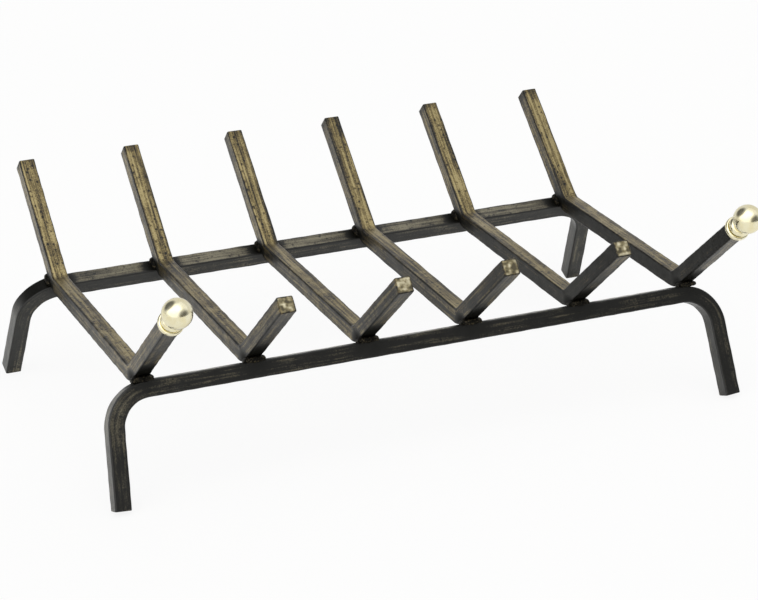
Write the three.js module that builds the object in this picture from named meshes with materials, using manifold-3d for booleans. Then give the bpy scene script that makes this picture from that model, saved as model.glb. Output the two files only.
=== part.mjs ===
// Log grate: six square steel bars, each bent up at both ends, welded across two bent square
// steel frames that stand with their feet spread. The two outer bars carry brass ball finials.
//
// Millimetres, +Z up, the front towards -Y. The origin is on the floor, under the middle of the
// grate's overall width and depth.

import * as THREE from "three";
import { mergeVertices } from "three/addons/utils/BufferGeometryUtils.js";
import Module from "manifold-3d";

// ---- Driving dimensions -------------------------------------------------------------------

// Steel bar, the same stock for frames and log bars
const barSize = 16; // across the flats
const barEdge = 0.9; // rolled corner, as a chamfer

// Frames: a rail with both ends bent down into legs
const frameSpan = 618; // between the two corner points, on the centre line
const frameBendRadius = 35; // on the centre line
const frameTilt = THREE.MathUtils.degToRad(22); // lean of a frame, feet outwards
const legSplay = THREE.MathUtils.degToRad(4); // legs opening sideways within the frame
const railHeight = 100; // rail's centre line above the floor
const railSpacing = 262; // between the two rails' centre lines
const footLand = 1.2; // flat dressed on the lowest corner of each square-cut foot

// Log bars
const outerBarInset = 29; // outer bars' even places, inwards from the frame's corner points
const barDrift = [1, -1.9, -0.9, -5.6, -3.6, 3.6]; // each bar's way off its even place
const barTurn = [-0.1, -0.2, 0.1, -0.1, 0.35, 0.9]; // each bar's turn out of square, in degrees
const prongAngle = THREE.MathUtils.degToRad(42); // prongs above the level middle
const prongBendRadius = 16; // on the centre line
const rearProng = 136; // from the bend's corner point to the square-cut end
const frontProng = 130;
const bendInset = 16.5; // bend's corner point inside the rail's centre line

// Ball finials on the front ends of the two outer bars
const ballDiameter = 28;
const neckDiameter = 13;
const neckLength = 8;
const collarDiameter = 24;
const collarThickness = 5;
const collarRim = 1.6; // rounding of the collar's rim
const studDiameter = 6;
const studInBar = 14;
const studInBall = 12; // measured from the neck's foot

// Weld beads, one on each side of every crossing. Each runs along the bar's side and in under its
// prong, where it fills half of the wedge above the rail and laps over the rail's outer edge.
const beadLength = 17; // along the rail's upper face
const beadHeight = 9.5;
const beadWidth = 10;
const beadOffset = 8.5; // bead's middle, outwards along the rail's upper face from the seat
const beadLift = 1; // bead's middle above the rail's upper face
const wedgeLength = 12;
const wedgeHeight = 9;
const wedgeWidth = 22; // across the bar, both halves together
const wedgeOffset = 11.5;
const wedgeLift = 1.5;

// Fits
const seatGap = 0.3; // between pieces that touch
const boreGap = 0.3; // around and behind a stud

// Facets
const arcSegments = 5; // half the segments of one bend
const turnedSegments = 28;
const boreSegments = 16;
const rimSegments = 4;
const ballSegments = 14; // from the neck to the ball's top
const beadSegments = [14, 10]; // around a bead and along it

// ---- Materials ----------------------------------------------------------------------------

const steel = (color) => new THREE.MeshStandardMaterial({ color, roughness: 0.55, metalness: 0.8 });
const frameSteel = () => steel("#2b2b28");
const barSteel = () => steel("#5d5546");
const weldSteel = () => steel("#3a3733");
const studSteel = () => steel("#8d8d8a");
const brass = () => new THREE.MeshStandardMaterial({ color: "#e3cf8f", roughness: 0.15, metalness: 1 });

// ---- Solids -------------------------------------------------------------------------------

const manifold = await Module();
manifold.setup();

// Closed solid of a geometry, moved by a matrix
function toSolid(geometry, matrix = new THREE.Matrix4()) {
  const bare = geometry.clone().applyMatrix4(matrix);
  bare.deleteAttribute("normal");
  bare.deleteAttribute("uv");
  const merged = mergeVertices(bare, 1e-4);
  return new manifold.Manifold(
    new manifold.Mesh({
      numProp: 3,
      vertProperties: new Float32Array(merged.attributes.position.array),
      triVerts: new Uint32Array(merged.index.array),
    }),
  );
}

// Geometry of a solid, with flat faces
function toGeometry(solid) {
  const mesh = solid.getMesh();
  const indexed = new THREE.BufferGeometry();
  indexed.setAttribute("position", new THREE.BufferAttribute(mesh.vertProperties, 3));
  indexed.setIndex(new THREE.BufferAttribute(mesh.triVerts, 1));
  const geometry = indexed.toNonIndexed();
  geometry.computeVertexNormals();
  return geometry;
}

// What is left of a geometry once the cutters are taken away
function cut(geometry, ...cutters) {
  return toGeometry(cutters.reduce((solid, cutter) => solid.subtract(cutter), toSolid(geometry)));
}

// ---- Bent bars ----------------------------------------------------------------------------

// Outline of a bar bent in its plane: up the right side of a centre line through the points,
// with each corner rounded, and back down the left side.
function bentOutline(points, radius, width) {
  const directions = points.slice(1).map((point, i) => point.clone().sub(points[i]).normalize());
  const leftOf = (direction) => new THREE.Vector2(-direction.y, direction.x);
  const side = (point, direction, offset) => point.clone().addScaledVector(leftOf(direction), offset);

  const bends = points.slice(1, -1).map((corner, i) => {
    const turn = Math.atan2(directions[i].cross(directions[i + 1]), directions[i].dot(directions[i + 1]));
    const start = corner.clone().addScaledVector(directions[i], -radius * Math.tan(Math.abs(turn) / 2));
    const centre = side(start, directions[i], Math.sign(turn) * radius);
    const from = Math.atan2(start.y - centre.y, start.x - centre.x);
    return { turn, centre, from };
  });

  const half = width / 2;
  const outline = new THREE.Shape();
  const first = [1, -1].map((hand) => side(points.at(0), directions.at(0), hand * half));
  const last = [-1, 1].map((hand) => side(points.at(-1), directions.at(-1), hand * half));
  outline.moveTo(first[0].x, first[0].y);
  outline.lineTo(first[1].x, first[1].y);
  for (const { turn, centre, from } of bends) {
    const r = radius + Math.sign(turn) * half;
    outline.absarc(centre.x, centre.y, r, from, from + turn, turn < 0);
  }
  for (const end of last) outline.lineTo(end.x, end.y);
  for (const { turn, centre, from } of bends.toReversed()) {
    const r = radius - Math.sign(turn) * half;
    outline.absarc(centre.x, centre.y, r, from + turn, from, turn > 0);
  }
  outline.closePath();
  return outline;
}

// Square bar bent in its own XY plane, centred on Z, with its long corners chamfered.
// A positive growth makes the same bar larger all over, to cut a neighbour clear of it.
function bentBar(points, radius, growth = 0) {
  const size = barSize + 2 * growth;
  const geometry = new THREE.ExtrudeGeometry(bentOutline(points, radius, size), {
    depth: size - 2 * barEdge,
    bevelThickness: barEdge,
    bevelSize: barEdge,
    bevelOffset: -barEdge,
    bevelSegments: 1,
    curveSegments: arcSegments,
  });
  return geometry.translate(0, 0, barEdge - size / 2);
}

// ---- Frames -------------------------------------------------------------------------------

// The leg is as long as brings the lowest corner of its square-cut end to the land's depth
// below the floor.
const halfBar = barSize / 2;
const legDrop = (railHeight + footLand - halfBar * Math.sin(frameTilt)) / Math.cos(frameTilt);
const legLength = (legDrop - halfBar * Math.sin(legSplay)) / Math.cos(legSplay);

const framePoints = [-1, 1].map((side) => {
  const corner = new THREE.Vector2((side * frameSpan) / 2, 0);
  const foot = corner.clone().add(
    new THREE.Vector2(side * legLength * Math.sin(legSplay), -legLength * Math.cos(legSplay)),
  );
  return { corner, foot };
});
const frameLine = [framePoints[0].foot, framePoints[0].corner, framePoints[1].corner, framePoints[1].foot];

// A frame lies in its own XY plane, and this stands it up with its feet leaning outwards
function standFrame(object) {
  object.position.set(0, -railSpacing / 2, railHeight);
  object.rotation.x = Math.PI / 2 - frameTilt;
  object.updateMatrix();
  return object;
}

function frameGeometry() {
  const floor = new THREE.BoxGeometry(2 * frameSpan, 2 * railSpacing, railHeight);
  floor.translate(0, -railSpacing / 2, -railHeight / 2);
  const intoFrame = standFrame(new THREE.Object3D()).matrix.clone().invert();
  return cut(bentBar(frameLine, frameBendRadius), toSolid(floor, intoFrame));
}

// ---- Log bars -----------------------------------------------------------------------------

// Corners of the tilted rail's chamfered section, from its centre: inwards and up
function railSection() {
  const up = new THREE.Vector2(Math.sin(frameTilt), Math.cos(frameTilt));
  const inwards = new THREE.Vector2(up.y, -up.x);
  const flat = halfBar - barEdge;
  const corners = [];
  for (const [a, b] of [[halfBar, flat], [flat, halfBar]]) {
    for (const [i, j] of [[1, 1], [1, -1], [-1, 1], [-1, -1]]) {
      corners.push(up.clone().multiplyScalar(i * a).addScaledVector(inwards, j * b));
    }
  }
  return corners;
}

// The bar's underside, one seat gap clear, is level in the middle, round at the bend and then
// straight up the prong. This is its height below the bend's centre, at a place so far outwards.
function undersideDepth(outwards) {
  const radius = prongBendRadius + halfBar + seatGap;
  if (outwards <= 0) return radius;
  if (outwards <= radius * Math.sin(prongAngle)) return Math.sqrt(radius ** 2 - outwards ** 2);
  return radius * Math.cos(prongAngle) - (outwards - radius * Math.sin(prongAngle)) * Math.tan(prongAngle);
}

// The bars come down until their bends rest on the rails
const bendCentreInset = bendInset + prongBendRadius * Math.tan(prongAngle / 2);
const seats = railSection().map((corner) => {
  const height = railHeight + corner.y + undersideDepth(bendCentreInset - corner.x) - prongBendRadius;
  return { corner, height };
});
const seat = seats.reduce((best, next) => (next.height > best.height ? next : best));
const barHeight = seat.height; // centre line of the level middle above the floor

const middleHalf = railSpacing / 2 - bendInset;
const prongEnd = (side, length) =>
  new THREE.Vector2(
    side * (middleHalf + length * Math.cos(prongAngle)),
    barHeight + length * Math.sin(prongAngle),
  );
const barLine = [
  prongEnd(1, rearProng),
  new THREE.Vector2(middleHalf, barHeight),
  new THREE.Vector2(-middleHalf, barHeight),
  prongEnd(-1, frontProng),
];

// A log bar lies in its own XY plane, which this stands across the rails at its place on them
function standBar(object, x, turn) {
  object.position.x = x;
  object.rotation.set(Math.PI / 2, Math.PI / 2 + turn, 0);
  object.updateMatrix();
  return object;
}

// The front end of a bar, with +Y along the prong and out of its end face
function placeAtFrontEnd(object) {
  object.position.set(barLine[3].x, barLine[3].y, 0);
  object.rotation.z = Math.PI / 2 - prongAngle;
  object.updateMatrix();
  return object;
}

function barGeometry(tapped) {
  const geometry = bentBar(barLine, prongBendRadius);
  if (!tapped) return geometry;
  const boreRadius = studDiameter / 2 + boreGap;
  const depth = studInBar + boreGap;
  const bore = new THREE.CylinderGeometry(boreRadius, boreRadius, 2 * depth, boreSegments);
  return cut(geometry, toSolid(bore, placeAtFrontEnd(new THREE.Object3D()).matrix));
}

// ---- Weld beads ---------------------------------------------------------------------------

const grownFrame = bentBar(frameLine, frameBendRadius, seatGap);
const grownBar = toSolid(bentBar(barLine, prongBendRadius, seatGap));

// Rounded lump on the rail's upper face, in the bar's own plane, at a place across the bar
function lump(size, offset, lift, end, across) {
  const shape = new THREE.SphereGeometry(1, ...beadSegments);
  shape.scale(size.x / 2, size.y / 2, size.z / 2);
  shape.rotateZ(end * frameTilt);
  const inwards = new THREE.Vector2(Math.cos(frameTilt), -Math.sin(frameTilt));
  const up = new THREE.Vector2(Math.sin(frameTilt), Math.cos(frameTilt));
  const middle = seat.corner.clone().addScaledVector(inwards, -offset).addScaledVector(up, lift);
  shape.translate(end * (railSpacing / 2 - middle.x), railHeight + middle.y, across);
  return toSolid(shape);
}

const beadSize = new THREE.Vector3(beadLength, beadHeight, beadWidth);
const wedgeSize = new THREE.Vector3(wedgeLength, wedgeHeight, wedgeWidth);

// One weld at a crossing, in the bar's own plane: a lump beside the bar joined to half of the
// lump under it, cut clear of the bar and the rail.
// end: -1 front, 1 rear. side: -1 left, 1 right.
function beadGeometry(end, side, frameSolid) {
  const beside = lump(beadSize, beadOffset, beadLift, end, side * halfBar);
  const under = lump(wedgeSize, wedgeOffset, wedgeLift, end, 0);
  const otherHalf = new THREE.BoxGeometry(railSpacing * 2, railHeight * 4, frameSpan);
  otherHalf.translate(0, 0, -side * (frameSpan - seatGap) / 2);
  const weld = beside.add(under).subtract(grownBar).subtract(frameSolid).subtract(toSolid(otherHalf));
  return toGeometry(weld);
}

// ---- Finials ------------------------------------------------------------------------------

const at = (x, y) => new THREE.Vector2(x, y);
const arc = (centre, radius, from, to, steps) =>
  new THREE.EllipseCurve(centre.x, centre.y, radius, radius, from, to, to < from).getPoints(steps);

// Profiles are turned about +Y, which points out of the bar's end
const collarStart = seatGap;
const ballStart = collarStart + collarThickness + seatGap;
const ballRadius = ballDiameter / 2;
const neckRadius = neckDiameter / 2;
const neckAngle = Math.asin(neckRadius / ballRadius); // where the neck meets the ball, from the axis
const ballCentre = neckLength + ballRadius * Math.cos(neckAngle); // from the neck's foot

function collarGeometry() {
  const bore = studDiameter / 2 + boreGap;
  const rim = collarDiameter / 2 - collarRim;
  const profile = [
    at(bore, 0),
    ...arc(at(rim, collarRim), collarRim, -Math.PI / 2, 0, rimSegments),
    ...arc(at(rim, collarThickness - collarRim), collarRim, 0, Math.PI / 2, rimSegments),
    at(bore, collarThickness),
    at(bore, 0),
  ];
  return new THREE.LatheGeometry(profile, turnedSegments);
}

function ballGeometry() {
  const bore = studDiameter / 2 + boreGap;
  const profile = [
    at(0, studInBall + boreGap),
    at(bore, studInBall + boreGap),
    at(bore, 0),
    at(neckRadius, 0),
    ...arc(at(0, ballCentre), ballRadius, neckAngle - Math.PI / 2, Math.PI / 2, ballSegments),
  ];
  profile.at(-1).x = 0;
  return new THREE.LatheGeometry(profile, turnedSegments);
}

function studGeometry() {
  const length = studInBar + ballStart + studInBall;
  const stud = new THREE.CylinderGeometry(studDiameter / 2, studDiameter / 2, length, boreSegments);
  return stud.translate(0, length / 2 - studInBar, 0);
}

// ---- Assembly -----------------------------------------------------------------------------

function namedMesh(name, geometry, material) {
  const mesh = new THREE.Mesh(geometry, material);
  mesh.name = name;
  return mesh;
}

// Front of the ball finials and rear corner of the rear prongs' ends, from midway between the rails
const frontReach = ballRadius - prongEnd(-1, frontProng + ballStart + ballCentre).x;
const rearReach = prongEnd(1, rearProng).x + halfBar * Math.sin(prongAngle);

const grate = new THREE.Group();
grate.position.y = (frontReach - rearReach) / 2;

// Both frames are alike, and the rear one is turned half a turn about the upright axis
for (const [name, turn] of [["front_frame", 0], ["rear_frame", Math.PI]]) {
  const turned = new THREE.Group();
  turned.rotation.z = turn;
  turned.add(standFrame(namedMesh(name, frameGeometry(), frameSteel())));
  grate.add(turned);
}

const ends = [["front", -1], ["rear", 1]];
const sides = [["left", -1], ["right", 1]];

function finial(sideName) {
  const group = placeAtFrontEnd(new THREE.Group());
  const collar = namedMesh(`finial_collar_${sideName}`, collarGeometry(), brass());
  collar.position.y = collarStart;
  const ball = namedMesh(`finial_ball_${sideName}`, ballGeometry(), brass());
  ball.position.y = ballStart;
  const stud = namedMesh(`finial_stud_${sideName}`, studGeometry(), studSteel());
  return group.add(collar, ball, stud);
}

const barPitch = (frameSpan - 2 * outerBarInset) / (barDrift.length - 1);

barDrift.forEach((drift, i) => {
  const x = (i - (barDrift.length - 1) / 2) * barPitch + drift;
  const outer = i === 0 || i === barDrift.length - 1;
  const crossing = standBar(new THREE.Group(), x, THREE.MathUtils.degToRad(barTurn[i]));
  crossing.add(namedMesh(`log_bar_${i + 1}`, barGeometry(outer), barSteel()));

  const intoBar = crossing.matrix.clone().invert();
  for (const [endName, end] of ends) {
    const halfTurn = new THREE.Matrix4().makeRotationZ(end > 0 ? Math.PI : 0);
    const frameToBar = intoBar.clone().multiply(halfTurn).multiply(standFrame(new THREE.Object3D()).matrix);
    const frameSolid = toSolid(grownFrame, frameToBar);
    for (const [sideName, side] of sides) {
      const name = `weld_${endName}_${i + 1}_${sideName}`;
      crossing.add(namedMesh(name, beadGeometry(end, side, frameSolid), weldSteel()));
    }
  }

  if (outer) crossing.add(finial(i === 0 ? "left" : "right"));
  grate.add(crossing);
});

export default grate;
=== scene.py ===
import math

import bpy
import numpy as np
from mathutils import Matrix, Vector


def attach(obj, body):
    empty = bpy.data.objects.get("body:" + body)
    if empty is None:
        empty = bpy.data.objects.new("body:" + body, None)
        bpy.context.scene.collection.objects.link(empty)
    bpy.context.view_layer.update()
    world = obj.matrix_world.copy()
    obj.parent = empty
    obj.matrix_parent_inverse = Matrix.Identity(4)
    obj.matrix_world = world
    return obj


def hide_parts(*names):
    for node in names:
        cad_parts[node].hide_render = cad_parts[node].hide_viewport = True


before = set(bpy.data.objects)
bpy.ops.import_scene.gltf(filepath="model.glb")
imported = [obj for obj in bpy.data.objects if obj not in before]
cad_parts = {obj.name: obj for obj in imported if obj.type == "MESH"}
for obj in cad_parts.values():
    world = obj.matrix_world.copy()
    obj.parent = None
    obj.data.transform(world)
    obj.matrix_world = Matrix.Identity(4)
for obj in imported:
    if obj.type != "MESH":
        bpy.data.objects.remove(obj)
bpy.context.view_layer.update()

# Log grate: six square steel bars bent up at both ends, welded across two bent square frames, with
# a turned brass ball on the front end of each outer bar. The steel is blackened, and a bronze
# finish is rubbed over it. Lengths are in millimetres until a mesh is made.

MM = 0.001

# ---- Sizes, as in the CAD -------------------------------------------------------------------

HALF = 8.0  # half the square stock
STOCK_EDGE = 1.4  # rolled corner
FILED_EDGE = 0.6  # at a saw-cut end
SKIN_SWELLS = 0.25  # depth of the rolled skin's unevenness
BEND_SPREAD = 0.04  # share by which the steel spreads inside a bend
LINE_STEP = 2.0  # between rings along a bar
FRAME_SPAN = 618.0
FRAME_BEND = 35.0
TILT = math.radians(22)
SPLAY = math.radians(4)
RAIL_HEIGHT = 100.0
RAIL_SPACING = 262.0
MIDDLE_Y = 11.755  # midway between the rails
FOOT_LAND = 1.2
PRONG = math.radians(42)
PRONG_BEND = 16.0
PRONG_INSET = 16.5
REAR_PRONG = 136.0
FRONT_PRONG = 130.0
BAR_HEIGHT = 109.2486  # centre line of the level middle
BAR_X = [-279.0, -169.9, -56.9, 50.4, 164.4, 283.6]
BAR_TURN = [math.radians(t) for t in (-0.1, -0.2, 0.1, -0.1, 0.35, 0.9)]

COLLAR_START = 0.3
COLLAR_RADIUS = 12.0
COLLAR_THICK = 5.0
BALL_START = 5.6
BALL_RADIUS = 13.93  # so that a round ball stays inside the faceted one
NECK_RADIUS = 6.5
NECK_LENGTH = 8.0
BORE = 3.3

# ---- Meshes ---------------------------------------------------------------------------------


def smoothstep(lo, hi, x):
    """0 below lo, 1 above hi, and a cubic that leaves and arrives level in between."""
    t = np.clip((x - lo) / (hi - lo), 0, 1)
    return t * t * (3 - 2 * t)


def closed_tube(name, points, attributes, material):
    """Piece from a grid of points, rings by places round a ring, in millimetres.

    Each ring joins the next by quads, and the first and last ring are points on their own: a fan
    closes the tube there. The attributes hold one number or one vector for each place of the grid.
    """
    rings, around = points.shape[:2]
    inner = np.arange(1, rings - 1)
    index = (inner[:, None] - 1) * around + np.arange(around)[None, :]
    ahead = np.roll(index, -1, axis=1)
    quads = np.stack([index[:-1], ahead[:-1], ahead[1:], index[1:]], -1).reshape(-1, 4)
    first = len(index) * around
    fan_first = np.stack([np.full(around, first), ahead[0], index[0]], -1)
    fan_last = np.stack([np.full(around, first + 1), index[-1], ahead[-1]], -1)

    def flat(grid):
        return np.concatenate([grid[1:-1].reshape(-1, *grid.shape[2:]), grid[:1, 0], grid[-1:, 0]])

    mesh = bpy.data.meshes.new(name)
    mesh.from_pydata(
        (flat(points) * MM).tolist(), [], quads.tolist() + fan_first.tolist() + fan_last.tolist()
    )
    mesh.polygons.foreach_set("use_smooth", np.ones(len(mesh.polygons), bool))
    for key, grid in attributes.items():
        vector = grid.ndim == 3
        made = mesh.attributes.new(key, "FLOAT_VECTOR" if vector else "FLOAT", "POINT")
        values = flat(grid).astype(np.float32).ravel()
        made.data.foreach_set("vector" if vector else "value", values)
    mesh.materials.append(material)
    piece = bpy.data.objects.new(name, mesh)
    bpy.context.scene.collection.objects.link(piece)
    return piece


def bent_line(points, radius, step):
    """Centre line of a bent bar in its plane: places, directions, lengths along it and bend.

    Straights join arcs of the radius that touch them. On an arc the start is turned about the
    arc's centre by length over radius. Bend is 0 on a straight and swells to 1 in the middle of a
    left-hand arc, or to -1 in a right-hand one.
    """
    points = np.array(points, float)
    ways = np.diff(points, axis=0)
    ways /= np.linalg.norm(ways, axis=1)[:, None]
    turns = np.arctan2(
        ways[:-1, 0] * ways[1:, 1] - ways[:-1, 1] * ways[1:, 0], (ways[:-1] * ways[1:]).sum(1)
    )
    trims = np.concatenate([[0], radius * np.tan(abs(turns) / 2), [0]])
    places, headings, bends = [], [], []
    for i, way in enumerate(ways):
        start = points[i] + way * trims[i]
        end = points[i + 1] - way * trims[i + 1]
        length = np.linalg.norm(end - start)
        t = np.linspace(0, 1, max(2, round(length / step)), endpoint=False)
        places.append(start + (end - start) * t[:, None])
        headings.append(np.broadcast_to(way, (len(t), 2)))
        bends.append(np.zeros(len(t)))
        if i < len(turns):
            turn = turns[i]
            centre = end + np.sign(turn) * radius * np.array([-way[1], way[0]])
            t = np.linspace(0, 1, round(radius * abs(turn) / step * 1.5), endpoint=False)
            cos, sin = np.cos(turn * t), np.sin(turn * t)
            rotate = np.stack([np.stack([cos, -sin], -1), np.stack([sin, cos], -1)], -2)
            places.append(centre + rotate @ (end - centre))
            headings.append(rotate @ way)
            bends.append(np.sign(turn) * np.sin(np.pi * t))
    places = np.concatenate([*places, points[-1:]])
    headings = np.concatenate([*headings, ways[-1:]])
    bends = np.concatenate([*bends, [0]])
    lengths = np.concatenate([[0], np.cumsum(np.linalg.norm(np.diff(places, axis=0), axis=1))])
    return places, headings, lengths, bends


def stock_section():
    """Outline of square bar with rolled corners, anticlockwise: for each side the flat, sampled
    closely near its ends, and then a quarter circle to the next flat."""
    flat_end = HALF - STOCK_EDGE
    flat = np.array([-1, -0.96, -0.78, -0.5, -0.18, 0.18, 0.5, 0.78, 0.96, 1]) * flat_end
    quarter = np.linspace(0, np.pi / 2, 6)[1:-1]
    side = np.concatenate(
        [
            np.stack([np.full(len(flat), HALF), flat], -1),
            flat_end + STOCK_EDGE * np.stack([np.cos(quarter), np.sin(quarter)], -1),
        ]
    )
    turns = [np.array([[c, s], [-s, c]]) for c, s in ((1, 0), (0, 1), (-1, 0), (0, -1))]
    return np.concatenate([side @ turn for turn in turns])


def unevenness(stock, seed):
    """Slow swells of rolled and hand-bent steel, from 0 to 1: the mean of eight sine waves whose
    lengths run from 11 to 70 mm along the bar and 14 to 40 mm across it."""
    pick = np.random.default_rng(seed)
    waves = 8
    along = 2 * np.pi / pick.uniform(11, 70, waves)
    across = 2 * np.pi / pick.uniform(14, 40, (waves, 2)) * pick.choice([-1, 1], (waves, 2))
    phase = pick.uniform(0, 2 * np.pi, waves)
    wave = np.sin(stock[..., :1] * along + stock[..., 1:] @ across.T + phase)
    return 0.5 + 0.5 * np.clip(wave.mean(-1) * 2, -1, 1)


def bent_stock(name, line, place, material, seed, masks):
    """Square bar carried along a bent centre line, with saw-cut ends whose edge is filed off.

    A point of the section lies its first number to the left of the line and its second number out
    of the bend's plane. The section shrinks to the centre at the ends, first round a quarter circle
    for the filed edge and then straight across the cut. In a bend the steel spreads on the inside
    and thins as much on the outside, most in the bend's middle. The skin is let in by its swells.
    place turns points of the bend's plane into points of the grate, and masks gives the finish's
    masks from the lengths along the bar and the points.
    """
    places, headings, lengths, bends = line
    body = (lengths > FILED_EDGE) & (lengths < lengths[-1] - FILED_EDGE)
    quarter = np.linspace(0, np.pi / 2, 4)
    in_by = FILED_EDGE * (1 - np.sin(quarter))
    shrink = 1 - FILED_EDGE / HALF * (1 - np.cos(quarter))
    across = np.array([0, 0.2, 0.45, 0.7, 0.88]) * shrink[-1]
    start = np.concatenate([np.zeros(len(across)), in_by[::-1]])
    scale = np.concatenate([across, shrink[::-1]])
    stations = np.concatenate([start, lengths[body], lengths[-1] - start[::-1]])
    scale = np.concatenate([scale, np.ones(body.sum()), scale[::-1]])

    def at(values):
        if values.ndim == 1:
            return np.interp(stations, lengths, values)
        return np.stack([np.interp(stations, lengths, v) for v in values.T], -1)

    section = stock_section()
    left_of = at(headings)[:, ::-1] * (-1, 1)
    bend = at(bends)[:, None]
    a = scale[:, None] * section[None, :, 0]
    b = scale[:, None] * section[None, :, 1]
    b = b * (1 + BEND_SPREAD * bend * a / HALF)
    stock = np.stack([np.broadcast_to(stations[:, None], a.shape), a, b], -1)
    let_in = 1 - SKIN_SWELLS / HALF * unevenness(stock, seed)
    flat = at(places)[:, None, :] + left_of[:, None, :] * (a * let_in)[..., None]
    points = place(flat[..., 0], flat[..., 1], b * let_in)

    on_cut = (scale < 0.97)[:, None] * np.ones(a.shape)
    reach = np.where(on_cut > 0, np.maximum(abs(a), abs(b)), np.minimum(abs(a), abs(b)))
    attributes = {
        # Each bar has its own stretch of the finish's pattern
        "stock": stock + np.array([seed * 900.0, 0, 0]),
        "edge": smoothstep(5.9, 7.4, reach),
        "cut": on_cut,
        **masks(stations[:, None] * np.ones(a.shape), points),
    }
    return closed_tube(name, points, attributes, material)


def turned(name, profile, place, material):
    """Piece turned about an axis: each profile point, its distance from the axis and its height,
    goes once round a circle of that radius at that height. The profile starts and ends on the
    axis."""
    around = np.linspace(0, 2 * np.pi, 96, endpoint=False)
    radius, height = profile[:, :1], profile[:, 1:]
    x, y = radius * np.cos(around), radius * np.sin(around)
    points = place(x, y, height * np.ones(x.shape))
    return closed_tube(name, points, {}, material)


# ---- Nodes ----------------------------------------------------------------------------------


def colour(hex_code, alpha=1.0):
    """sRGB hex to the linear numbers that shaders work in."""
    parts = [int(hex_code[i : i + 2], 16) / 255 for i in (1, 3, 5)]
    return [p / 12.92 if p <= 0.04045 else ((p + 0.055) / 1.055) ** 2.4 for p in parts] + [alpha]


def add(tree, kind, inputs=None, stops=None, **settings):
    """One node, with its settings, its inputs as values or links, and its ramp's stops."""
    made = tree.nodes.new("ShaderNode" + kind)
    for key, value in settings.items():
        setattr(made, key, value)
    for key, value in (inputs or {}).items():
        if isinstance(value, bpy.types.NodeSocket):
            tree.links.new(value, made.inputs[key])
        else:
            made.inputs[key].default_value = value
    if stops:
        elements = made.color_ramp.elements
        while len(elements) < len(stops):
            elements.new(0.5)
        for element, (where, code) in zip(elements, stops):
            element.position = where
            element.color = colour(code)
    return made


def new_material(name):
    """Empty material and its tree."""
    material = bpy.data.materials.new(name)
    material.use_nodes = True
    material.node_tree.nodes.clear()
    return material, material.node_tree


def noise(tree, vector, scale, detail, roughness=0.5):
    inputs = {"Vector": vector, "Scale": scale, "Detail": detail, "Roughness": roughness}
    return add(tree, "TexNoise", inputs).outputs["Fac"]


def maths(tree, operation, *values, clamp=False):
    inputs = dict(enumerate(values))
    return add(tree, "Math", inputs, operation=operation, use_clamp=clamp).outputs[0]


def remap(tree, value, start, stop, low=0.0, high=1.0, shape="LINEAR"):
    """Low at the start, high at the stop, and held beyond them."""
    ends = {"From Min": start, "From Max": stop, "To Min": low, "To Max": high}
    return add(tree, "MapRange", {"Value": value, **ends}, interpolation_type=shape).outputs[0]


def ramp(tree, value, stops):
    return add(tree, "ValToRGB", {"Fac": value}, list(stops)).outputs["Color"]


def bump(tree, height, strength, depth):
    """Relief on the normal, its depth in millimetres."""
    inputs = {"Height": height, "Strength": strength, "Distance": depth * MM}
    return add(tree, "Bump", inputs).outputs["Normal"]


def surface(tree, inputs):
    """The material's shader and its output."""
    shader = add(tree, "BsdfPrincipled", inputs)
    add(tree, "OutputMaterial", {"Surface": shader.outputs[0]})


# ---- Materials ------------------------------------------------------------------------------


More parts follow.
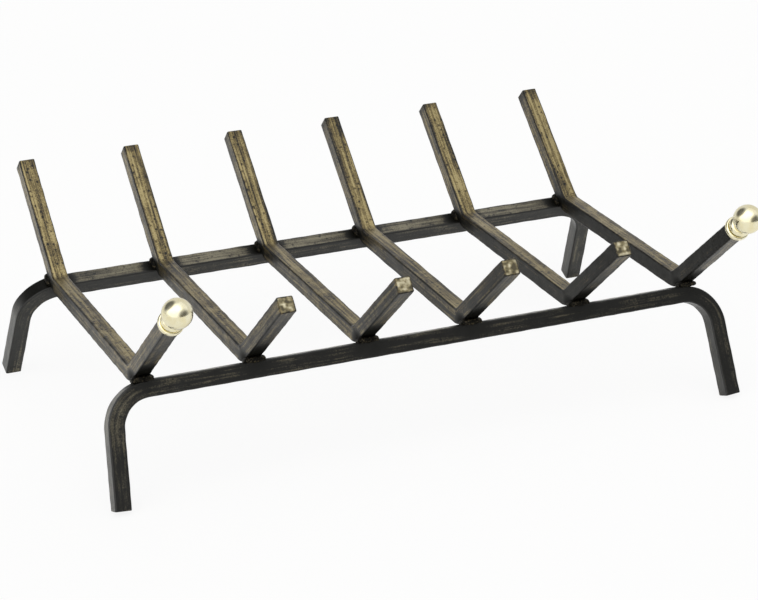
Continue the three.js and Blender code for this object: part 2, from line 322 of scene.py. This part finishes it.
def rubbed_bronze(name, bare, depth, wax, tones):
    """Blackened mild steel with bronze wax rubbed over it, as on wrought hearth iron.

    The eye sees dark brown-black steel, with bronze on the faces that look up, drawn out in
    streaks along the bar by the rubbing cloth, darker along the edges, and black at the welds and
    in the pits. The mask that holds the soot also holds painted shade, which darkens the steel as
    soot does. It is half glossy, as waxed metal is. bare is the rubbing that still leaves the steel
    nearly bare, depth the relief in millimetres, wax the coat's weight where there is neither soot
    nor painted shade, and tones run from bare steel to full bronze.
    """
    material, tree = new_material(name)
    stock = add(tree, "Attribute", attribute_name="stock").outputs["Vector"]
    rub, edge, cut, soot_and_shade = (
        add(tree, "Attribute", attribute_name=mask).outputs["Fac"]
        for mask in ("rub", "edge", "cut", "soot_and_shade")
    )

    # Rubbing streaks 2.4 mm wide and 70 mm long, cloudy patches of 15 mm, and 1.3 mm grit
    drawn = add(tree, "Mapping", {"Vector": stock, "Scale": (1 / 70, 1 / 2.4, 1 / 2.4)}).outputs[0]
    streak = noise(tree, drawn, 1.0, 3.0, 0.6)
    cloud = noise(tree, stock, 1 / 15, 3.0, 0.6)
    grit = noise(tree, stock, 1 / 1.3, 2.0, 0.6)
    # Scale pits 1.5 to 3.5 mm across, about 6 mm apart
    pit = add(tree, "TexVoronoi", {"Vector": stock, "Scale": 1 / 6}, feature="F1")
    pitted = remap(tree, pit.outputs["Distance"], 0.13, 0.3, 1.0, 0.0)

    # Bronze left on the skin: the rubbing, and what each mask adds to it or takes from it
    spread = rub
    for mask, share in (
        (streak, 1.7),
        (cloud, 0.7),
        (grit, 0.9),
        (edge, -0.36),
        (soot_and_shade, -1.3),
        (pitted, -0.35),
    ):
        spread = maths(tree, "MULTIPLY_ADD", mask, share, spread)
    left = remap(tree, spread, bare + 0.26, bare + 0.92)
    skin = ramp(tree, left, zip((0, 0.25, 0.5, 0.75, 1), tones))

    # Saw-cut ends, rubbed paler in blots of 5 mm whose palest parts are painted highlights, with a
    # dark rim
    blot = noise(tree, stock, 1 / 5, 1.5)
    cut_tone_and_highlight = ramp(tree, blot, [(0.36, "#4b4430"), (0.5, "#847a5a"), (0.66, "#d0c8aa")])
    cut_share = maths(tree, "MULTIPLY", cut, rub, clamp=True)
    cut_share = maths(tree, "SUBTRACT", cut_share, edge, clamp=True)
    mixed = add(tree, "MixRGB", {"Fac": cut_share, "Color1": skin, "Color2": cut_tone_and_highlight}).outputs[0]

    # Soot, and the painted shade held with it, dull the steel and keep the wax off it
    gloss = remap(tree, left, 0.0, 1.0, 0.5, 0.38)
    gloss = maths(tree, "MULTIPLY_ADD", soot_and_shade, 0.35, gloss)
    waxed = remap(tree, soot_and_shade, 0.0, 1.0, wax, 0.1)

    relief = maths(tree, "MULTIPLY_ADD", pitted, -0.6, grit)
    relief = maths(tree, "MULTIPLY_ADD", cloud, 1.2, relief)
    surface(
        tree,
        {
            "Base Color": mixed,
            "Metallic": 0.95,
            "Roughness": gloss,
            "Normal": bump(tree, relief, 0.6, depth),
            "Coat Weight": waxed,
            "Coat Roughness": 0.38,
        },
    )
    return material


def weld_scale(name):
    """Mild steel weld metal under burnt scale and soot: nearly black and dull, with painted glints:
    the crests of the ripples are painted lighter, as if they caught the light."""
    material, tree = new_material(name)
    place = add(tree, "TexCoord").outputs["Object"]
    crest = add(tree, "Attribute", attribute_name="crest").outputs["Fac"]
    grain = noise(tree, place, 1 / (1.5 * MM), 3.0)
    # Painted glints on the ripples' crests, over the grain
    grain_and_glint = maths(tree, "MULTIPLY_ADD", crest, 0.2, grain)
    skin = ramp(tree, grain_and_glint, [(0.4, "#050504"), (0.66, "#17150f"), (0.82, "#4a4333")])
    relief = bump(tree, grain, 0.5, 0.3)
    surface(tree, {"Base Color": skin, "Metallic": 0.85, "Roughness": 0.55, "Normal": relief})
    return material


def polished_brass(name):
    """Yellow brass, turned and buffed: a clear pale yellow mirror, with a faint cloud of handling
    that changes its tone a little and how sharp the mirror is."""
    material, tree = new_material(name)
    place = add(tree, "TexCoord").outputs["Object"]
    cloud = noise(tree, place, 1 / (7 * MM), 2.0)
    tone = ramp(tree, cloud, [(0.35, "#f2e8c0"), (0.65, "#f8f2d4")])
    gloss = remap(tree, cloud, 0.3, 0.7, 0.14, 0.24)
    surface(tree, {"Base Color": tone, "Metallic": 1.0, "Roughness": gloss})
    return material


def plain_steel(name):
    """Zinc-plated threaded rod: cool light grey with a soft shine and fine spangle."""
    material, tree = new_material(name)
    place = add(tree, "TexCoord").outputs["Object"]
    spangle = noise(tree, place, 1 / (1.2 * MM), 2.0)
    tone = ramp(tree, spangle, [(0.3, "#8b8d8e"), (0.7, "#b4b6b6")])
    surface(tree, {"Base Color": tone, "Metallic": 1.0, "Roughness": 0.35})
    return material


frame_finish = rubbed_bronze(
    "blackened_frame_steel", 1.38, 0.3, 1.0, ("#12120d", "#302e26", "#544f3f", "#6c6653", "#87816b")
)
bar_finish = rubbed_bronze(
    "rubbed_bar_steel", 1.95, 0.25, 0.55, ("#12120d", "#352f20", "#5f5335", "#7d6f47", "#9d8f64")
)
weld_finish = weld_scale("burnt_weld_metal")
brass_finish = polished_brass("buffed_brass")
stud_finish = plain_steel("plated_stud_steel")

# ---- Frames ---------------------------------------------------------------------------------


def facing_up(points):
    """How far each place of a grid of points looks up: the upright part of the unit normal, which
    is the cross product of the steps round and along."""
    along = np.gradient(points, axis=0)
    around = np.roll(points, -1, axis=1) - np.roll(points, 1, axis=1)
    normal = np.cross(around, along)
    size = np.linalg.norm(normal, axis=-1)
    return np.where(size > 1e-6, normal[..., 2] / np.maximum(size, 1e-6), 0)


def near_crossings(points, near, far):
    """1 within the near distance of a place where a bar and a rail are welded, fading to 0 at the
    far one: the nearest of the twelve crossings counts. A crossing's middle is a little inwards of
    and above the rail's centre line, and its zone is widest along the rail."""
    soot_and_shade = np.zeros(points.shape[:2])
    for x, turn in zip(BAR_X, BAR_TURN):
        for end in (-1, 1):
            reach = end * (RAIL_SPACING / 2 - 4)
            middle = np.array([x - math.sin(turn) * reach, MIDDLE_Y + reach, RAIL_HEIGHT + 7])
            away = np.linalg.norm((points - middle) / (1.25, 1.1, 0.8), axis=-1)
            soot_and_shade = np.maximum(soot_and_shade, 1 - smoothstep(near, far, away))
    return soot_and_shade


def frame_line():
    """Foot, corner, corner, foot: the leg's length brings the lowest corner of its square-cut end
    the land's depth below the floor."""
    drop = (RAIL_HEIGHT + FOOT_LAND - HALF * math.sin(TILT)) / math.cos(TILT)
    length = (drop - HALF * math.sin(SPLAY)) / math.cos(SPLAY)
    corner = FRAME_SPAN / 2
    foot = (corner + length * math.sin(SPLAY), -length * math.cos(SPLAY))
    points = [(-foot[0], foot[1]), (-corner, 0), (corner, 0), foot]
    return bent_line(points, FRAME_BEND, LINE_STEP)


def frame_masks(along, points):
    """Rubbing on top of the rail, and a little on the front left bend and the feet. Soot at the
    welds, and where the rear rail stayed black."""
    up = facing_up(points)
    x, y, z = np.moveaxis(points, -1, 0)
    # The cloth reached the front left bend, and the floor wore the feet a little
    bend = (1 - smoothstep(25, 70, np.hypot(x + FRAME_SPAN / 2, z - RAIL_HEIGHT))) * (y < MIDDLE_Y)
    foot = 1 - smoothstep(1, 5, z)
    # The rear rail stayed black outside the outer bars
    outside = 0.7 * smoothstep(280, 292, abs(x)) * smoothstep(0.3, 0.8, up) * (y > MIDDLE_Y)
    # Less soot settled on the frames' sides than on top
    # Near the welds the frames are darker on faces that look up than on their sides
    welds = near_crossings(points, 7, 20) * (0.3 + 0.7 * smoothstep(0.4, 0.9, up))
    return {
        "rub": np.max([0.42 * smoothstep(0.4, 0.95, up), 0.22 * bend, 0.3 * foot], axis=0),
        "soot_and_shade": np.maximum(welds, outside),
    }


def place_frame(hand):
    """hand is 1 for the front frame and -1 for the rear one, which is the same turned half round.
    The frame leans: up its plane is inwards and up. What would go under the floor is pressed
    flat."""

    def place(u, w, n):
        y = -RAIL_SPACING / 2 + w * math.sin(TILT) - n * math.cos(TILT)
        z = RAIL_HEIGHT + w * math.cos(TILT) + n * math.sin(TILT)
        return np.stack([hand * u, MIDDLE_Y + hand * y, np.maximum(z, 0)], -1)

    return place


for seed, (name, hand) in enumerate((("front_frame", 1), ("rear_frame", -1))):
    piece = bent_stock(
        f"{name}_bent_stock", frame_line(), place_frame(hand), frame_finish, 3 + seed, frame_masks
    )
    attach(piece, "root")
    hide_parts(name)

# ---- Log bars -------------------------------------------------------------------------------


def bar_place(x, turn):
    """Bar's plane to the grate: the first number runs towards the rear, the second up, and the
    third to the right, with the plane turned a little about the upright axis."""

    def place(u, w, n):
        return np.stack(
            [
                x - math.sin(turn) * u + math.cos(turn) * n,
                MIDDLE_Y + math.cos(turn) * u + math.sin(turn) * n,
                w + 0 * n,
            ],
            -1,
        )

    return place


MIDDLE_HALF = RAIL_SPACING / 2 - PRONG_INSET


def prong_end(end, length):
    """Where a prong's centre line ends, in the bar's plane: end is 1 at the rear, -1 in front."""
    return (
        end * (MIDDLE_HALF + length * math.cos(PRONG)),
        BAR_HEIGHT + length * math.sin(PRONG),
    )


def bar_masks(along, points):
    """Rubbing all round, least underneath, and a little more bronze on the rear prongs' sides. Soot
    at the welds, and darker at the rear tip. Painted shade under the prongs near the crossings and
    on the sides of the middles and front prongs, more the further right a bar stands."""
    up = facing_up(points)
    tip = 0.15 * (1 - smoothstep(2, 12, along))
    # Painted shade: faces that look down near the crossings are darkened, as in the shadow under
    # the prongs
    under = smoothstep(0.2, 0.7, -up) * near_crossings(points, 22, 48)
    # The further right a bar stands, the less its sides were rubbed, but for the rear prongs
    # Painted shade on the sides of the middles and front prongs, darker the further right a bar
    # stands; the rear prongs' sides get a little more bronze instead
    side = 1 - smoothstep(0.1, 0.6, abs(up))
    rear = smoothstep(90, 170, points[..., 1])
    rear_side_bronze = 0.1 * side * rear
    side = 0.3 * smoothstep(-60, 280, points[..., 0]) * side * (1 - rear)
    soot_and_shade = np.max([near_crossings(points, 7, 18), tip, under, side], axis=0)
    return {"rub": 0.75 + rear_side_bronze + 0.25 * smoothstep(-0.2, 0.75, up), "soot_and_shade": soot_and_shade}


bar_line = bent_line(
    [
        prong_end(1, REAR_PRONG),
        (MIDDLE_HALF, BAR_HEIGHT),
        (-MIDDLE_HALF, BAR_HEIGHT),
        prong_end(-1, FRONT_PRONG),
    ],
    PRONG_BEND,
    LINE_STEP,
)
for i, (x, turn) in enumerate(zip(BAR_X, BAR_TURN), 1):
    piece = bent_stock(
        f"log_bar_{i}_bent_stock", bar_line, bar_place(x, turn), bar_finish, 10 + i, bar_masks
    )
    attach(piece, "root")
    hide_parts(f"log_bar_{i}")

# ---- Welds ----------------------------------------------------------------------------------

# A weld's lump beside the bar and its lump under the prong: the middle of each and its half sizes,
# inwards along the rail's leaning top face, up from it, and across the bar. Middles are counted
# from the rail's centre line and the bar's middle plane.
LUMPS = (((-1.4, 8.7, HALF), (7.6, 3.8, 3.0)), ((-4.4, 9.5, 0.0), (6.0, 4.5, 11.0)))
RIPPLE = 2.4


def weld_bead(name, place, end, side, size, seed):
    """Weld beside the bar and in under its prong, as one skin about both lumps.

    Rays leave a middle between the lumps, spaced round like a globe's grid, and each ends at the
    outer one of the two places where it leaves an ellipsoid. Crescent ripples are a cosine of the
    distance round the bar's corner, and a few slow waves make no two welds alike. The skin stops
    just short of the bar's middle plane, where the other side's weld begins.
    """
    pick = np.random.default_rng(seed)
    pole = np.linspace(0, np.pi, 56)[:, None]
    turn = np.linspace(0, 2 * np.pi, 72, endpoint=False)[None, :]
    cos, sin = np.cos(pole), np.sin(pole)
    ray = np.stack([cos * np.ones(turn.shape), sin * np.sin(turn), sin * np.cos(turn)], -1)
    middle = np.array([-1.6 - size, 9.2, 4.5 + 2 * size])
    reach = 0
    for lump, half in LUMPS:
        from_lump = (middle - lump) / np.array(half)
        way = ray / half
        a, b, c = (way**2).sum(-1), (way * from_lump).sum(-1), (from_lump**2).sum() - 1
        reach = np.maximum(reach, (-b + np.sqrt(np.maximum(b * b - a * c, 0))) / a)
    skin = ray * size * reach[..., None]
    run = np.hypot(skin[..., 0] + middle[0], 0.6 * (skin[..., 2] + middle[2]))
    ripple = np.cos(2 * np.pi * run / RIPPLE)
    bumps = sum(
        np.sin(k * ray[..., 0] + m * ray[..., 2] + pick.uniform(0, 6.28))
        for k, m in ((4, 1), (7, 5), (3, 8), (9, 6))
    )
    local = middle + skin * (0.95 + 0.03 * ripple + 0.012 * bumps)[..., None]
    inwards, up, across = local[..., 0], local[..., 1], np.maximum(local[..., 2], 0.1)
    outwards = RAIL_SPACING / 2 - inwards * math.cos(TILT) - up * math.sin(TILT)
    height = RAIL_HEIGHT - inwards * math.sin(TILT) + up * math.cos(TILT)
    points = place(end * outwards, height, side * across)
    if end * side > 0:
        points = points[:, ::-1]
        ripple = ripple[:, ::-1]
    return closed_tube(name, points, {"crest": 0.5 + 0.5 * ripple}, weld_finish)


for i, (x, turn) in enumerate(zip(BAR_X, BAR_TURN), 1):
    for end_name, end in (("front", -1), ("rear", 1)):
        for side_name, side in (("left", -1), ("right", 1)):
            node_name = f"weld_{end_name}_{i}_{side_name}"
            seed = 100 + 4 * i + end + (side + 1) // 2
            # The last bar's front weld is a thin one on its right
            size = 0.62 if node_name == "weld_front_6_right" else 1.0
            piece = weld_bead(f"{node_name}_bead", bar_place(x, turn), end, side, size, seed)
            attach(piece, "root")
            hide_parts(node_name)

# ---- Finials --------------------------------------------------------------------------------


def arc(centre, radius, start, stop, steps):
    """Points of a circle's arc, from one angle to the other in degrees."""
    angle = np.radians(np.linspace(start, stop, steps))
    return np.stack([centre[0] + radius * np.cos(angle), centre[1] + radius * np.sin(angle)], -1)


def collar_profile():
    """Thick washer with a rounded rim and a shallow turned step on its upper face."""
    rim, rounding, thick = COLLAR_RADIUS, 1.6, COLLAR_THICK
    return np.concatenate(
        [
            [(0, 0.6), (BORE - 0.3, 0.6), (BORE, 0)],
            arc((rim - rounding, rounding), rounding, -90, 0, 12),
            arc((rim - rounding, thick - rounding), rounding, 0, 90, 12),
            [(9.4, thick), (9.1, thick - 0.3), (BORE, thick - 0.3), (0, thick - 0.6)],
        ]
    )


def ball_profile():
    """Ball on a turned foot. The foot swells in a bead, half an ellipse, and a narrow groove parts
    it from the ball: an arc from where the groove ends to the top. The foot has the stud's bore."""
    meet = math.asin(NECK_RADIUS / BALL_RADIUS)
    centre = NECK_LENGTH + BALL_RADIUS * math.cos(meet)
    groove = 7.6
    bead_out, bead_middle, bead_half = 3.2, 3.75, 3.9
    bore_depth = 12.3
    swell = np.radians(np.linspace(-74, 90, 22))
    bead = np.stack(
        [groove + bead_out * np.cos(swell), bead_middle + bead_half * np.sin(swell)], -1
    )
    lean = math.degrees(math.asin(groove / BALL_RADIUS))
    return np.concatenate(
        [
            [(0, bore_depth), (BORE, bore_depth), (BORE, 0.2), (BORE + 0.2, 0)],
            bead,
            arc((0, centre), BALL_RADIUS, lean - 90, 90, 64)[:-1],
            [(0, centre + BALL_RADIUS)],
        ]
    )


def front_end_place(x, turn, start):
    """Turning axis to the grate: the height runs out of the bar's front end, up the prong's line,
    and the second number to the left, so that the three make a right-handed set."""
    base = prong_end(-1, FRONT_PRONG)
    place = bar_place(x, turn)

    def along(px, py, height):
        out = start + height
        u = base[0] - out * math.cos(PRONG) + px * math.sin(PRONG)
        w = base[1] + out * math.sin(PRONG) + px * math.cos(PRONG)
        return place(u, w, -py)

    return along


for side_name, i in (("left", 0), ("right", 5)):
    for part, start, profile in (
        ("collar", COLLAR_START, collar_profile()),
        ("ball", BALL_START, ball_profile()),
    ):
        node_name = f"finial_{part}_{side_name}"
        place = front_end_place(BAR_X[i], BAR_TURN[i], start)
        piece = turned(f"{node_name}_turned", profile, place, brass_finish)
        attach(piece, "root")
        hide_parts(node_name)
    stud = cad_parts[f"finial_stud_{side_name}"]
    stud.data.materials.clear()
    stud.data.materials.append(stud_finish)

# ---- Camera ---------------------------------------------------------------------------------

# Fitted to the edges of the bars in the photo, together with the grate
CAMERA_PLACE = (-998.53, -2265.32, 1144.79)
CAMERA_AIM = (0.37354, 0.84136, -0.39061)
YAW = 0.4178

forward = Vector(CAMERA_AIM).normalized()
level = Vector((math.cos(YAW), -math.sin(YAW), 0))
upright = level.cross(forward)
roll = math.radians(0.27)
right = math.cos(roll) * level + math.sin(roll) * upright
above = math.cos(roll) * upright - math.sin(roll) * level
lens = bpy.data.cameras.new("camera")
lens.lens = 130.22
lens.sensor_width = 36
lens.clip_start, lens.clip_end = 0.1, 60
camera = bpy.data.objects.new("camera", lens)
camera.matrix_world = Matrix.Translation(Vector(CAMERA_PLACE) * MM) @ Matrix(
    (right, above, -forward)
).transposed().to_4x4()
bpy.context.scene.collection.objects.link(camera)
bpy.context.scene.camera = camera

# ---- Studio ---------------------------------------------------------------------------------


def floor_paper(name):
    """White paper floor, matt. The camera sees most of it at paper white, so that only a faint
    shadow is left on it."""
    material, tree = new_material(name)
    paper = add(tree, "BsdfDiffuse", {"Color": colour("#f4f4f2")}).outputs[0]
    white = add(tree, "Emission", {"Color": colour("#ffffff"), "Strength": 1.0}).outputs[0]
    seen = add(tree, "LightPath").outputs["Is Camera Ray"]
    share = maths(tree, "MULTIPLY", seen, 0.88)
    both = add(tree, "MixShader", {"Fac": share, 1: paper, 2: white}).outputs[0]
    add(tree, "OutputMaterial", {"Surface": both})
    return material


def studio_floor():
    """Disc under the grate, 6 m across: a polygon of points on a circle."""
    angle = np.linspace(0, 2 * np.pi, 96, endpoint=False)
    rim = np.stack([3 * np.cos(angle), 3 * np.sin(angle), 0 * angle], -1)
    mesh = bpy.data.meshes.new("studio_floor")
    mesh.from_pydata(rim.tolist(), [], [list(range(len(angle)))])
    mesh.materials.append(floor_paper("white_paper_floor"))
    floor = bpy.data.objects.new("studio_floor", mesh)
    bpy.context.scene.collection.objects.link(floor)


def studio_world():
    """White paper behind and overhead, shading to a darker room on the camera's side, with a pale
    wall at the left of the camera, a dark doorway at its right and a dark gap at the far left."""
    world = bpy.data.worlds.new("studio")
    world.use_nodes = True
    tree = world.node_tree
    tree.nodes.clear()
    look = add(tree, "TexCoord").outputs["Generated"]
    lift = add(
        tree, "VectorMath", {0: look, 1: (0.15, 0.6, 0.78)}, operation="DOT_PRODUCT"
    ).outputs["Value"]
    room = remap(tree, lift, -0.45, 0.4, 0.48, 0.75, "SMOOTHSTEP")
    # The wall, the doorway and the gap: where each is, where it starts and is full, and how bright
    for toward, start, stop, factor in (
        ((-0.57, -0.60, 0.56), 0.3, 0.85, 2.5),
        ((0.47, -0.87, 0.13), 0.7, 0.95, 0.25),
        ((-0.53, 0.54, 0.65), 0.76, 0.93, 0.15),
    ):
        aim = add(tree, "VectorMath", {0: look, 1: toward}, operation="DOT_PRODUCT")
        share = remap(tree, aim.outputs["Value"], start, stop, 1.0, factor, "SMOOTHSTEP")
        room = maths(tree, "MULTIPLY", room, share)
    seen = add(tree, "LightPath").outputs["Is Camera Ray"]
    strength = add(tree, "Mix", {"Factor": seen, "A": room, "B": 1.0}).outputs[0]
    back = add(tree, "Background", {"Color": colour("#ffffff"), "Strength": strength})
    add(tree, "OutputWorld", {"Surface": back.outputs[0]})
    bpy.context.scene.world = world


def softbox(name, toward, distance, size, watts):
    """Square softbox that looks at the grate from a direction."""
    lamp = bpy.data.lights.new(name, "AREA")
    lamp.shape = "SQUARE"
    lamp.size = size
    lamp.energy = watts
    box = bpy.data.objects.new(name, lamp)
    way = Vector(toward).normalized()
    box.matrix_world = (
        Matrix.Translation(way * distance + Vector((0, 0, 0.1)))
        @ way.to_track_quat("Z", "Y").to_matrix().to_4x4()
    )
    bpy.context.scene.collection.objects.link(box)


studio_floor()
studio_world()
softbox("overhead_softbox", (0.36, -0.36, 0.86), 2.2, 2.6, 4)

bpy.context.scene.view_settings.view_transform = "Standard"
